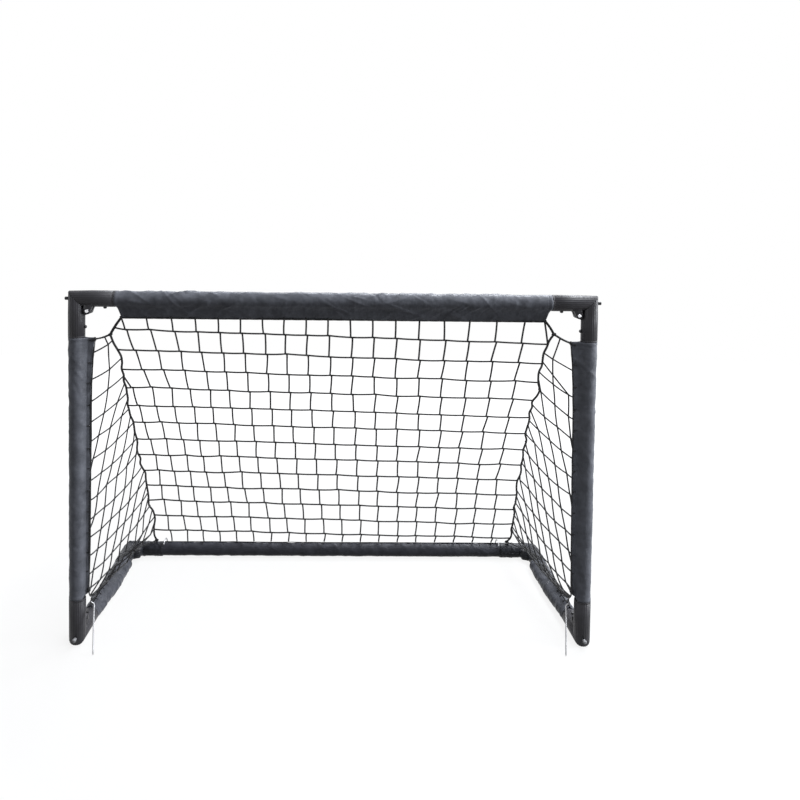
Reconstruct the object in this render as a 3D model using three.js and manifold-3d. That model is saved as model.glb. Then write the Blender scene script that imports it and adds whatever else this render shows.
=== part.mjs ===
// Folding floorball goal: a tube frame with six hinged elbows, fabric sleeves, a knotted net and pegs.
// Millimetres, +Z up, the mouth facing -Y, the origin under the middle of the goal.

import * as THREE from 'three';
import { mergeVertices } from 'three/addons/utils/BufferGeometryUtils.js';
import Module from 'manifold-3d';

const wasm = await Module();
wasm.setup();

// Outer size of the frame, over the elbows
const GOAL_WIDTH = 900;
const GOAL_HEIGHT = 610;
const GOAL_DEPTH = 358;

// Round pieces are prisms with this many sides, a flat side facing each axis
const TUBE_SIDES = 16;
const SMALL_SIDES = 8;

// Clearance between pieces that touch, and how far a cut runs past what it cuts
const GAP = 0.3;
const OVERRUN = 2;

// Steel tube
const TUBE_DIAMETER = 22;
const TUBE_WALL = 1.5;

// Elbow: two mitred arms that meet at 45 degrees
const ELBOW_DIAMETER = 28;
const ARM_LENGTH = 80;
const SOCKET_DEPTH = 42;

// Hinge lug in the elbow's inner corner
const PIN_OFFSET = 6.3;
const LUG_RADIUS = 5.8;
const LUG_WIDTH = 20;
const MIDDLE_KNUCKLE_WIDTH = 8;
const GUSSET_LENGTH = 14;
const GUSSET_ROOT_SHARE = 0.5;
const PIN_RADIUS = 1.8;
const PIN_HEAD_RADIUS = 3;
const PIN_HEAD_THICKNESS = 1.2;

// Lock button on the elbow's outer side
const BUTTON_RADIUS = 2.9;
const BUTTON_STAND_OUT = 5.8;
const BUTTON_SEATED_LENGTH = 6.2;
const BUTTON_TRAVEL = 3;
const BUTTON_CHAMFER = 0.9;

// Screw that holds an arm to its tube
const SCREW_PLACE = 62;
const SCREW_RADIUS = 1.6;
const SCREW_HEAD_RADIUS = 2.9;
const SCREW_HEAD_HEIGHT = 3;
const SCREW_TIP = 1;

// Fabric sleeves: a tube of coated cloth with a flap that the net is tied to
const SLEEVE_THICKNESS = 2.2;
const FLAP_THICKNESS = 3;
const CROSSBAR_FLAP_REACH = 33;
const POST_FLAP_REACH = 23;
const HEM_REACH = 16.4;
const FLAP_SLANT = 7;

// Cloth wrapped round each rear elbow, open underneath where the elbow stands on the floor
const WRAP_CLEARANCE = 0.4;
const WRAP_THICKNESS = 2;
const WRAP_SLOT_HEIGHT = 0.6;

// Net
const CORD_DIAMETER = 2;
const NET_ROWS = 12;
const BACK_COLUMNS = 15;
const SIDE_PITCH = 36.7;
const SNAP_REACH = 9;

// Rope along each corner between the side net and the back net
const ROPE_DIAMETER = 4;
const ROPE_SIDES = 8;
const EDGE_CORD_STEPS = 10;
const ROPE_STEPS = 6;
const ROPE_INSET = 64;
const ROPE_TOP_DROP = 22;
const ROPE_TOP_BACK = 8;
const ROPE_TOP_SPREAD = 3;
const ROPE_TIE_DROP = 3;
const TOP_CORD_INSET = 4.5;

// Cord loop that each front peg hangs in
const LOOP_RADIUS = 4.2;
const LOOP_CORD_RADIUS = 0.9;
const LOOP_SIDES = 6;
const LOOP_STEPS = 12;

// Ground pegs, bent from wire
const PEG_DIAMETER = 2.5;
const PEG_SIDES = 6;
const PEG_STEPS = 14;
const PEG_HOOK_IN = 3.8;
const PEG_HOOK_OUT = 2.8;
const PEG_HOOK_SLOPE_SHARE = 0.85;
const PEG_TIP_INSET = 13.7;
const PEG_LEAN = 28;
const REAR_PEG_INSET = 74;
const REAR_PEG_SHAFT = 72;
const REAR_PEG_BEND = 6;
const REAR_HOOK_STEPS = 6;
const REAR_HOOK_TURN = (135 * Math.PI) / 180;

// Sizes worked out from those above
const elbowRadius = ELBOW_DIAMETER / 2;
const tubeRadius = TUBE_DIAMETER / 2;
const cordRadius = CORD_DIAMETER / 2;
const ropeRadius = ROPE_DIAMETER / 2;
const pegRadius = PEG_DIAMETER / 2;
const sleeveBore = tubeRadius + GAP;
const sleeveRadius = sleeveBore + SLEEVE_THICKNESS;
const armEnd = ARM_LENGTH - elbowRadius;
const socketStart = armEnd - SOCKET_DEPTH;
const tubeStart = socketStart + GAP;
const pinPlace = elbowRadius + PIN_OFFSET;
const screwPlace = SCREW_PLACE - elbowRadius;
const postX = GOAL_WIDTH / 2 - elbowRadius;
const crossbarZ = GOAL_HEIGHT - elbowRadius;
const baseZ = elbowRadius;
const rearY = GOAL_DEPTH - ELBOW_DIAMETER;

// Directions
const UP = new THREE.Vector3(0, 0, 1);
const DOWN = new THREE.Vector3(0, 0, -1);
const RIGHT = new THREE.Vector3(1, 0, 0);
const LEFT = new THREE.Vector3(-1, 0, 0);
const BACK = new THREE.Vector3(0, 1, 0);
const FRONT = new THREE.Vector3(0, -1, 0);

// Looks
const plastic = { color: 0x3a393d, roughness: 0.45, metalness: 0 };
const steelTube = { color: 0x55575c, roughness: 0.4, metalness: 0.8 };
const fabric = { color: 0x2a2c31, roughness: 0.6, metalness: 0 };
const netCord = { color: 0x0c0c0d, roughness: 0.8, metalness: 0 };
const zincWire = { color: 0xb9b9bb, roughness: 0.35, metalness: 0.9 };
const brightSteel = { color: 0xc4c4c8, roughness: 0.3, metalness: 0.9 };

const goal = new THREE.Group();

function addPiece(name, geometry, look) {
  const mesh = new THREE.Mesh(geometry, new THREE.MeshStandardMaterial(look));
  mesh.name = name;
  goal.add(mesh);
  return mesh;
}

// Closed solids for joining and cutting

function toSolid(geometry) {
  const bare = geometry.clone();
  bare.deleteAttribute('normal');
  bare.deleteAttribute('uv');
  const merged = mergeVertices(bare);
  return new wasm.Manifold(new wasm.Mesh({
    numProp: 3,
    vertProperties: new Float32Array(merged.attributes.position.array),
    triVerts: new Uint32Array(merged.index.array),
  }));
}

function toGeometry(solid) {
  const mesh = solid.getMesh();
  const geometry = new THREE.BufferGeometry();
  geometry.setAttribute('position', new THREE.BufferAttribute(mesh.vertProperties, 3));
  geometry.setIndex(new THREE.BufferAttribute(mesh.triVerts, 1));
  geometry.computeVertexNormals();
  return geometry;
}

// A straight prism along +Z. The radius is measured to its flat sides.
function prism(radius, from, to, sides = TUBE_SIDES) {
  const section = new THREE.Shape(polygonPoints(radius, sides));
  const geometry = new THREE.ExtrudeGeometry(section, { depth: to - from, bevelEnabled: false });
  geometry.translate(0, 0, from);
  return geometry;
}

function polygonPoints(radius, sides) {
  const corner = radius / Math.cos(Math.PI / sides);
  return Array.from({ length: sides }, (_, side) => {
    const angle = ((side + 1 / 2) * 2 * Math.PI) / sides;
    return new THREE.Vector2(corner * Math.cos(angle), corner * Math.sin(angle));
  });
}

function box(low, high) {
  const size = high.clone().sub(low);
  const geometry = new THREE.BoxGeometry(size.x, size.y, size.z);
  const centre = low.clone().add(high).multiplyScalar(1 / 2);
  return geometry.translate(centre.x, centre.y, centre.z);
}

// Turns a shape drawn along +Z, its marked side towards +X, to lie along one direction and face another
function turned(geometry, along, facing, at) {
  const across = along.clone().cross(facing);
  const basis = new THREE.Matrix4().makeBasis(facing, across, along);
  basis.setPosition(at);
  return geometry.clone().applyMatrix4(basis);
}

// Elbows

// One half of an elbow, drawn with its arm along +Z and the other half's arm along +X.
function elbowHalf(hasMiddleKnuckle, hasScrew) {
  const reach = elbowRadius + OVERRUN;
  let half = toSolid(prism(elbowRadius, -reach, armEnd));
  const mitre = new THREE.BoxGeometry(4 * reach, 4 * reach, 4 * reach);
  mitre.translate(0, 0, GAP / 2 - 2 * reach);
  mitre.rotateY(-Math.PI / 4);
  half = half.subtract(toSolid(mitre));
  const halfMiddle = MIDDLE_KNUCKLE_WIDTH / 2;
  const spans = hasMiddleKnuckle
    ? [[-halfMiddle, halfMiddle]]
    : [[-LUG_WIDTH / 2, -halfMiddle - GAP], [halfMiddle + GAP, LUG_WIDTH / 2]];
  for (const [from, to] of spans) {
    half = half.add(knuckle(from, to));
  }
  half = half.subtract(toSolid(prism(tubeRadius + GAP, socketStart, armEnd + OVERRUN)));
  half = half.subtract(toSolid(acrossHinge(PIN_RADIUS + GAP, -LUG_WIDTH, LUG_WIDTH)));
  if (hasScrew) {
    half = half.subtract(toSolid(alongSide(SCREW_RADIUS + GAP, 0, reach, screwPlace)));
  }
  if (hasMiddleKnuckle) {
    const depth = BUTTON_SEATED_LENGTH + BUTTON_TRAVEL + GAP;
    half = half.subtract(toSolid(alongSide(BUTTON_RADIUS + GAP, -reach, depth - elbowRadius, 0)));
  }
  return toGeometry(half);
}

// A hinge knuckle and the web that joins it to its arm
function knuckle(from, to) {
  const round = toSolid(acrossHinge(LUG_RADIUS, from, to));
  const web = toSolid(box(
    new THREE.Vector3(elbowRadius * GUSSET_ROOT_SHARE, from, elbowRadius + GAP),
    new THREE.Vector3(pinPlace, to, elbowRadius + GUSSET_LENGTH),
  ));
  const trimRadius = PIN_OFFSET + GUSSET_LENGTH;
  const trim = toSolid(acrossHinge(trimRadius, from - OVERRUN, to + OVERRUN, TUBE_SIDES));
  return round.add(web.intersect(trim));
}

// A prism on the hinge pin's axis
function acrossHinge(radius, from, to, sides = SMALL_SIDES) {
  return prism(radius, from, to, sides).rotateX(-Math.PI / 2).translate(pinPlace, 0, pinPlace);
}

// A prism that crosses the arm, from its outer side towards its inner side
function alongSide(radius, from, to, height) {
  return prism(radius, from, to, SMALL_SIDES).rotateY(Math.PI / 2).translate(0, 0, height);
}

// A hinge pin with a head at each end
function hingePin() {
  const end = LUG_WIDTH / 2 + GAP;
  const shaft = toSolid(acrossHinge(PIN_RADIUS, -end, end));
  const lowHead = toSolid(acrossHinge(PIN_HEAD_RADIUS, -end - PIN_HEAD_THICKNESS, -end));
  const highHead = toSolid(acrossHinge(PIN_HEAD_RADIUS, end, end + PIN_HEAD_THICKNESS));
  return toGeometry(shaft.add(lowHead).add(highHead));
}

// A lock button, drawn in the half that carries it
function lockButton() {
  const tip = -elbowRadius - BUTTON_STAND_OUT;
  const inner = BUTTON_SEATED_LENGTH - elbowRadius;
  const profile = [
    new THREE.Vector2(0, tip),
    new THREE.Vector2(BUTTON_RADIUS - BUTTON_CHAMFER, tip),
    new THREE.Vector2(BUTTON_RADIUS, tip + BUTTON_CHAMFER),
    new THREE.Vector2(BUTTON_RADIUS, inner),
    new THREE.Vector2(0, inner),
  ];
  return new THREE.LatheGeometry(profile, SMALL_SIDES).rotateZ(-Math.PI / 2);
}

// A screw through an arm's inner side into its tube
function armScrew() {
  const seat = elbowRadius + GAP;
  const tip = tubeRadius - TUBE_WALL - SCREW_TIP;
  const shank = toSolid(alongSide(SCREW_RADIUS, tip, seat, screwPlace));
  const head = toSolid(alongSide(SCREW_HEAD_RADIUS, seat, seat + SCREW_HEAD_HEIGHT, screwPlace));
  return toGeometry(shank.add(head));
}

const pinShape = hingePin();
const buttonShape = lockButton();
const screwShape = armScrew();

// The knuckled half carries the pin and the button. The forked half is its partner.
// The rear elbows' arms grip their tubes without screws, under the cloth wraps.
const corners = [];
for (const [side, x, inward] of [['left', -postX, RIGHT], ['right', postX, LEFT]]) {
  corners.push({
    name: `${side}_top`,
    at: new THREE.Vector3(x, 0, crossbarZ),
    knuckled: { part: 'post', along: DOWN },
    forked: { part: 'crossbar', along: inward },
    screwed: true,
  });
  corners.push({
    name: `${side}_foot`,
    at: new THREE.Vector3(x, 0, baseZ),
    knuckled: { part: 'post', along: UP },
    forked: { part: 'side', along: BACK },
    screwed: true,
  });
  corners.push({
    name: `${side}_rear`,
    at: new THREE.Vector3(x, rearY, baseZ),
    knuckled: { part: 'rear_bar', along: inward },
    forked: { part: 'side', along: FRONT },
    screwed: false,
  });
}

for (const { name, at, knuckled, forked, screwed } of corners) {
  const halves = [[knuckled, forked, true], [forked, knuckled, false]];
  for (const [own, other, hasMiddleKnuckle] of halves) {
    const shape = elbowHalf(hasMiddleKnuckle, screwed);
    addPiece(`${name}_elbow_${own.part}_half`, turned(shape, own.along, other.along, at), plastic);
    if (screwed) {
      addPiece(`${name}_${own.part}_screw`, turned(screwShape, own.along, other.along, at), plastic);
    }
  }
  addPiece(`${name}_hinge_pin`, turned(pinShape, knuckled.along, forked.along, at), brightSteel);
  addPiece(`${name}_lock_button`, turned(buttonShape, knuckled.along, forked.along, at), plastic);
}

// Tubes

// A tube between two elbows. Each screwed end names the side that its screw enters.
function tube(from, to, startScrew, endScrew) {
  const span = to.clone().sub(from);
  const length = span.length();
  const along = span.clone().normalize();
  const body = toSolid(prism(tubeRadius, tubeStart, length - tubeStart));
  const bore = toSolid(prism(tubeRadius - TUBE_WALL, tubeStart - OVERRUN, length - tubeStart + OVERRUN));
  const flatSide = Math.abs(along.z) > 1 / 2 ? BACK : UP;
  let placed = toSolid(turned(toGeometry(body.subtract(bore)), along, flatSide, from));
  const hole = alongSide(SCREW_RADIUS + GAP, 0, tubeRadius + OVERRUN, screwPlace);
  if (startScrew) {
    placed = placed.subtract(toSolid(turned(hole, along, startScrew, from)));
  }
  if (endScrew) {
    placed = placed.subtract(toSolid(turned(hole, along.clone().negate(), endScrew, to)));
  }
  return toGeometry(placed);
}

const leftTop = new THREE.Vector3(-postX, 0, crossbarZ);
const rightTop = new THREE.Vector3(postX, 0, crossbarZ);
const leftFoot = new THREE.Vector3(-postX, 0, baseZ);
const rightFoot = new THREE.Vector3(postX, 0, baseZ);
const leftRear = new THREE.Vector3(-postX, rearY, baseZ);
const rightRear = new THREE.Vector3(postX, rearY, baseZ);

addPiece('crossbar_tube', tube(leftTop, rightTop, DOWN, DOWN), steelTube);
addPiece('left_post_tube', tube(leftFoot, leftTop, BACK, RIGHT), steelTube);
addPiece('right_post_tube', tube(rightFoot, rightTop, BACK, LEFT), steelTube);
addPiece('left_side_tube', tube(leftFoot, leftRear, UP, null), steelTube);
addPiece('right_side_tube', tube(rightFoot, rightRear, UP, null), steelTube);
addPiece('rear_tube', tube(leftRear, rightRear, null, null), steelTube);

// Sleeves

// A sleeve between two elbows. Its flap reaches from the tube's axis in one direction. Its ends slant.
function sleeve(from, to, facing, reach, slant) {
  const span = to.clone().sub(from);
  const length = span.length() - 2 * armEnd - 2 * GAP;
  const corner = sleeveRadius / Math.cos(Math.PI / TUBE_SIDES);
  const outline = polygonPoints(sleeveRadius, TUBE_SIDES).slice(1, -1);
  outline.push(new THREE.Vector2(reach, -FLAP_THICKNESS / 2));
  outline.push(new THREE.Vector2(reach, FLAP_THICKNESS / 2));
  const shape = new THREE.Shape(outline);
  shape.holes.push(new THREE.Path(polygonPoints(sleeveBore, TUBE_SIDES)));
  const geometry = new THREE.ExtrudeGeometry(shape, { depth: length, bevelEnabled: false });
  geometry.translate(0, 0, armEnd + GAP);
  const place = geometry.attributes.position;
  const middle = span.length() / 2;
  for (let point = 0; point < place.count; point += 1) {
    const past = Math.max(0, (place.getX(point) - corner) / (reach - corner));
    const z = place.getZ(point);
    place.setZ(point, z + Math.sign(middle - z) * past * slant);
  }
  return turned(geometry, span.normalize(), facing, from);
}

addPiece('crossbar_sleeve', sleeve(leftTop, rightTop, DOWN, CROSSBAR_FLAP_REACH, FLAP_SLANT), fabric);
addPiece('left_post_sleeve', sleeve(leftFoot, leftTop, RIGHT, POST_FLAP_REACH, 0), fabric);
addPiece('right_post_sleeve', sleeve(rightFoot, rightTop, LEFT, POST_FLAP_REACH, 0), fabric);
addPiece('left_side_sleeve', sleeve(leftFoot, leftRear, UP, HEM_REACH, 0), fabric);
addPiece('right_side_sleeve', sleeve(rightFoot, rightRear, UP, HEM_REACH, 0), fabric);
addPiece('rear_sleeve', sleeve(leftRear, rightRear, UP, HEM_REACH, 0), fabric);

// Cloth wraps round the rear elbows

const wrapRadius = elbowRadius + WRAP_CLEARANCE + WRAP_THICKNESS;

// The space of an elbow and its hinge lug, grown all round, drawn as the knuckled half is
function elbowCover(growth, end) {
  const radius = elbowRadius + growth;
  const ownArm = toSolid(prism(radius, -radius, end));
  const otherArm = toSolid(prism(radius, -radius, end).rotateY(Math.PI / 2));
  const lugHalf = LUG_WIDTH / 2 + GAP + PIN_HEAD_THICKNESS + growth;
  const lugReach = elbowRadius + GUSSET_LENGTH + growth;
  const corner = toSolid(box(
    new THREE.Vector3(0, -lugHalf, 0),
    new THREE.Vector3(lugReach, lugHalf, lugReach),
  ));
  const slantReach = pinPlace * Math.SQRT2 + PIN_OFFSET + growth;
  const slant = prism(slantReach, -lugHalf, lugHalf, 4).rotateX(-Math.PI / 2).rotateY(Math.PI / 4);
  return ownArm.add(otherArm).add(corner.intersect(toSolid(slant)));
}

function elbowWrap(along, facing, at) {
  const outer = elbowCover(WRAP_CLEARANCE + WRAP_THICKNESS, armEnd);
  const inner = elbowCover(WRAP_CLEARANCE, armEnd + OVERRUN);
  const buttonHole = toSolid(alongSide(BUTTON_RADIUS + 2 * GAP, -wrapRadius - OVERRUN, 0, 0));
  const drawn = toGeometry(outer.subtract(inner).subtract(buttonHole));
  const shell = toSolid(turned(drawn, along, facing, at));
  const size = new THREE.Vector3(2 * ARM_LENGTH, 2 * ARM_LENGTH, 0);
  const slot = box(
    at.clone().sub(size).setZ(-wrapRadius),
    at.clone().add(size).setZ(WRAP_SLOT_HEIGHT),
  );
  return toGeometry(shell.subtract(toSolid(slot)));
}

addPiece('left_rear_wrap', elbowWrap(RIGHT, FRONT, leftRear), fabric);
addPiece('right_rear_wrap', elbowWrap(LEFT, FRONT, rightRear), fabric);

// Net

// A net as one closed body: a small block at each knot, joined by square strands to its neighbours.
// Blocks keep the directions given, so that a strand joins the facing sides of two blocks.
function netGeometry(knots, strands, across, upward) {
  const axes = [across, upward, across.clone().cross(upward)];
  const places = [];
  const triangles = [];
  const first = new Map();
  for (const [name, place] of knots) {
    first.set(name, places.length / 3);
    for (let corner = 0; corner < 8; corner += 1) {
      const point = place.clone();
      axes.forEach((axis, n) => point.addScaledVector(axis, cordRadius * (((corner >> n) & 1) * 2 - 1)));
      places.push(point.x, point.y, point.z);
    }
  }
  // The four corners of a block's face, in order round the axis
  function ring(name, axis, far) {
    const u = 1 << ((axis + 1) % 3);
    const v = 1 << ((axis + 2) % 3);
    const base = first.get(name) + (far ? 1 << axis : 0);
    return [base, base + u, base + u + v, base + v];
  }
  function quad(a, b, c, d) {
    triangles.push(a, b, c, a, c, d);
  }
  const joined = new Set();
  for (const [from, to, axis] of strands) {
    const start = ring(from, axis, true);
    const end = ring(to, axis, false);
    joined.add(`${from}/${axis}/far`);
    joined.add(`${to}/${axis}/near`);
    for (let n = 0; n < 4; n += 1) {
      const next = (n + 1) % 4;
      quad(start[n], start[next], end[next], end[n]);
    }
  }
  for (const name of knots.keys()) {
    for (let axis = 0; axis < 3; axis += 1) {
      if (!joined.has(`${name}/${axis}/far`)) {
        quad(...ring(name, axis, true));
      }
      if (!joined.has(`${name}/${axis}/near`)) {
        quad(...ring(name, axis, false).reverse());
      }
    }
  }
  const geometry = new THREE.BufferGeometry();
  geometry.setAttribute('position', new THREE.Float32BufferAttribute(places, 3));
  geometry.setIndex(triangles);
  geometry.computeVertexNormals();
  return geometry;
}

const cordCorner = cordRadius * Math.SQRT2;
const ropeLow = new THREE.Vector3(postX - ROPE_INSET, rearY, baseZ + wrapRadius + GAP + ropeRadius);
const ropeHigh = new THREE.Vector3(
  ropeLow.x + ROPE_TOP_SPREAD,
  ROPE_TOP_BACK,
  crossbarZ - CROSSBAR_FLAP_REACH - ROPE_TOP_DROP,
);

// The point of the right-hand rope at a height
function ropeAt(z) {
  return ropeLow.clone().lerp(ropeHigh, (z - ropeLow.z) / (ropeHigh.z - ropeLow.z));
}

const crossbarFlapEnd = postX - armEnd - GAP - FLAP_SLANT;
const backTop = new THREE.Vector3(
  crossbarFlapEnd - TOP_CORD_INSET,
  0,
  crossbarZ - CROSSBAR_FLAP_REACH - GAP - cordCorner,
);
const backLow = new THREE.Vector3(0, rearY, baseZ + HEM_REACH + GAP + cordCorner);

function backNet() {
  const knots = new Map();
  const strands = [];
  for (let row = 0; row <= NET_ROWS; row += 1) {
    const share = row / NET_ROWS;
    const y = backLow.y * (1 - share);
    const z = backLow.z + (backTop.z - backLow.z) * share;
    const edge = row < NET_ROWS ? ropeAt(z).x - ropeRadius - GAP - cordRadius : backTop.x;
    for (let column = 0; column <= BACK_COLUMNS; column += 1) {
      knots.set(`${column},${row}`, new THREE.Vector3(edge * ((2 * column) / BACK_COLUMNS - 1), y, z));
      if (column > 0) {
        strands.push([`${column - 1},${row}`, `${column},${row}`, 0]);
      }
      if (row > 0) {
        strands.push([`${column},${row - 1}`, `${column},${row}`, 1]);
      }
    }
  }
  const upward = new THREE.Vector3(0, -backLow.y, backTop.z - backLow.z).normalize();
  return netGeometry(knots, strands, RIGHT, upward);
}

// The side net's lower edge lies on the side sleeve's hem, and climbs to the post in front and the rope behind.
const sideEdgeX = postX - POST_FLAP_REACH - GAP - cordRadius;
const sideEdgeReach = Math.max(wrapRadius, HEM_REACH) + GAP + cordCorner;
const sideFrontLow = new THREE.Vector3(sideEdgeX, 0, baseZ + armEnd + GAP);
const sideBarLine = new THREE.Vector3(postX, 0, baseZ + sideEdgeReach);
const sideRopeGap = ropeRadius + GAP + cordRadius;

function sideLowEdge(y) {
  const along = sideBarLine.clone().setY(y);
  if (y < armEnd) {
    return sideFrontLow.clone().lerp(along, y / armEnd).setY(y);
  }
  if (y > rearY - armEnd) {
    const end = ropeLow.clone().setX(ropeLow.x + sideRopeGap);
    return along.lerp(end, (y - rearY + armEnd) / armEnd).setY(y);
  }
  return along;
}

// A point of the right-hand side net, from its place behind the post and its row's share of the height
function sidePoint(y, share) {
  const low = sideLowEdge(y);
  const z = low.z + (ropeHigh.z - low.z) * share;
  const rope = ropeAt(z);
  const straight = THREE.MathUtils.lerp(sideEdgeX, rope.x + sideRopeGap, Math.min(1, y / rope.y));
  const straightLow = THREE.MathUtils.lerp(sideEdgeX, ropeLow.x + sideRopeGap, y / rearY);
  return new THREE.Vector3(straight + (1 - share) ** 2 * (low.x - straightLow), y, z);
}

// Where the rope crosses a row, and where it crosses a column, just outside the rope
function rowOnRope(share) {
  let y = rearY;
  for (let pass = 0; pass < 30; pass += 1) {
    y = ropeAt(sidePoint(y, share).z).y;
  }
  const place = ropeAt(sidePoint(y, share).z);
  return place.setX(place.x + sideRopeGap);
}

function columnOnRope(y) {
  const share = (rearY - y) / (rearY - ropeHigh.y);
  const place = ropeLow.clone().lerp(ropeHigh, share);
  return place.setX(place.x + sideRopeGap);
}

// A row and a column that meet close to the rope share one knot on it.
function sideNet(sign) {
  const knots = new Map();
  const strands = [];
  const columns = Math.round(rearY / SIDE_PITCH);
  const pitch = rearY / columns;
  for (let row = 0; row < NET_ROWS; row += 1) {
    const share = row / NET_ROWS;
    const end = rowOnRope(share);
    let last = null;
    for (let column = 0; column * pitch < end.y + SNAP_REACH && column <= columns; column += 1) {
      const y = column * pitch;
      const snapped = y > end.y - SNAP_REACH;
      const name = `${column},${row}`;
      knots.set(name, snapped ? end : sidePoint(y, share));
      if (column > 0) {
        strands.push([last, name, 0]);
      }
      if (row > 0) {
        strands.push([`${column},${row - 1}`, name, 1]);
      }
      last = snapped ? null : name;
      if (snapped) {
        break;
      }
    }
    if (last) {
      knots.set(`end,${row}`, end);
      strands.push([last, `end,${row}`, 0]);
    }
  }
  for (let column = 1; column < columns; column += 1) {
    const y = column * pitch;
    let top = 0;
    while (knots.has(`${column},${top + 1}`)) {
      top += 1;
    }
    const onRope = rowOnRope(top / NET_ROWS);
    if (y < onRope.y - SNAP_REACH) {
      knots.set(`${column},end`, columnOnRope(y));
      strands.push([`${column},${top}`, `${column},end`, 1]);
    }
  }
  for (const place of knots.values()) {
    place.setX(sign * place.x);
  }
  return netGeometry(knots, strands, BACK, UP);
}

addPiece('back_net', backNet(), netCord);
addPiece('left_net', sideNet(-1), netCord);
addPiece('right_net', sideNet(1), netCord);

// Ropes

// A round cord through the given points
function cord(points, radius, sides, steps) {
  const curve = new THREE.CatmullRomCurve3(points, false, 'centripetal');
  const section = new THREE.Shape(polygonPoints(radius, sides));
  return new THREE.ExtrudeGeometry(section, { steps, extrudePath: curve, bevelEnabled: false });
}

function mirrored(points, sign) {
  return points.map((point) => new THREE.Vector3(sign * point.x, point.y, point.z));
}

// The edge cord hangs from the crossbar flap to the post flap. The corner rope runs from it to the rear.
function cornerRope(sign) {
  const crossbarEnd = new THREE.Vector3(
    crossbarFlapEnd,
    0,
    crossbarZ - CROSSBAR_FLAP_REACH - GAP - ropeRadius,
  );
  const postEnd = new THREE.Vector3(
    postX - POST_FLAP_REACH - 2 * GAP - ropeRadius,
    0,
    crossbarZ - armEnd - ROPE_TIE_DROP,
  );
  const edgePoints = mirrored([crossbarEnd, ropeHigh, postEnd], sign);
  const edge = cord(edgePoints, ropeRadius, ROPE_SIDES, EDGE_CORD_STEPS);
  const corner = cord(mirrored([ropeHigh, ropeLow], sign), ropeRadius, ROPE_SIDES, ROPE_STEPS);
  return toGeometry(toSolid(edge).add(toSolid(corner)));
}

addPiece('left_corner_rope', cornerRope(-1), netCord);
addPiece('right_corner_rope', cornerRope(1), netCord);

// Pegs

// The loop hangs just under the side net's lower edge, which slopes down behind it.
const edgeSlope = (sideFrontLow.z - sideBarLine.z) / armEnd;
const loopReach = (LOOP_RADIUS + LOOP_CORD_RADIUS + GAP) * Math.hypot(1, edgeSlope);
const loopDrop = loopReach + cordRadius * (1 - edgeSlope);
const loopCentre = sideFrontLow.clone().setZ(sideFrontLow.z - loopDrop);
const hookSlope = Math.atan(PEG_HOOK_SLOPE_SHARE);
const hookDrop = LOOP_RADIUS - LOOP_CORD_RADIUS - GAP - pegRadius / Math.cos(hookSlope);
const hookPlace = loopCentre.clone().setZ(loopCentre.z - hookDrop);

function pegLoop(sign) {
  const loop = new THREE.TorusGeometry(LOOP_RADIUS, LOOP_CORD_RADIUS, LOOP_SIDES, LOOP_STEPS);
  return loop.rotateY(Math.PI / 2).translate(sign * loopCentre.x, loopCentre.y, loopCentre.z);
}

// A front peg hangs by its bent end and leans forward, its tip on the floor.
function frontPeg(sign) {
  const lean = Math.atan2(PEG_LEAN, hookPlace.z);
  const hookLine = new THREE.Vector3(1, 0, PEG_HOOK_SLOPE_SHARE);
  const bend = hookPlace.clone().addScaledVector(hookLine, -PEG_HOOK_IN);
  const end = hookPlace.clone().addScaledVector(hookLine, PEG_HOOK_OUT);
  const tipZ = pegRadius * Math.sin(lean) + GAP;
  const tip = new THREE.Vector3(hookPlace.x - PEG_TIP_INSET, -PEG_LEAN, tipZ);
  const middle = bend.clone().lerp(tip, 1 / 2);
  return cord(mirrored([end, hookPlace, bend, middle, tip], sign), pegRadius, PEG_SIDES, PEG_STEPS);
}

// A rear peg hooks over the rear bar and the net's lower edge, and lies behind the bar.
function rearPeg(sign) {
  const x = postX - REAR_PEG_INSET;
  const radius = backLow.z - baseZ + cordCorner + GAP + pegRadius;
  const points = Array.from({ length: REAR_HOOK_STEPS }, (_, step) => {
    const angle = REAR_HOOK_TURN * (1 - step / (REAR_HOOK_STEPS - 1));
    return new THREE.Vector3(x, rearY + radius * Math.cos(angle), baseZ + radius * Math.sin(angle));
  });
  points.push(new THREE.Vector3(x - REAR_PEG_BEND, rearY + radius, baseZ - REAR_PEG_BEND));
  points.push(new THREE.Vector3(x - REAR_PEG_SHAFT, rearY + radius, pegRadius + GAP));
  return cord(mirrored(points, sign), pegRadius, PEG_SIDES, PEG_STEPS + REAR_HOOK_STEPS);
}

for (const [side, sign] of [['left', -1], ['right', 1]]) {
  addPiece(`${side}_peg_loop`, pegLoop(sign), netCord);
  addPiece(`${side}_front_peg`, frontPeg(sign), zincWire);
  addPiece(`${side}_rear_peg`, rearPeg(sign), zincWire);
}

// The origin lies on the floor, under the middle of the whole goal.
goal.updateMatrixWorld(true);
const extent = new THREE.Box3().setFromObject(goal, true);
const middle = extent.getCenter(new THREE.Vector3());
goal.position.set(-middle.x, -middle.y, -extent.min.z);
goal.updateMatrixWorld(true);

export default goal;
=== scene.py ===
"""The looks of a folding floorball goal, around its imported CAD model. Metres, +Z up, the mouth facing -Y."""

import math
import random
from dataclasses import dataclass

import bmesh
import bpy
import numpy as np
from mathutils import Matrix, Vector, noise


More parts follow.
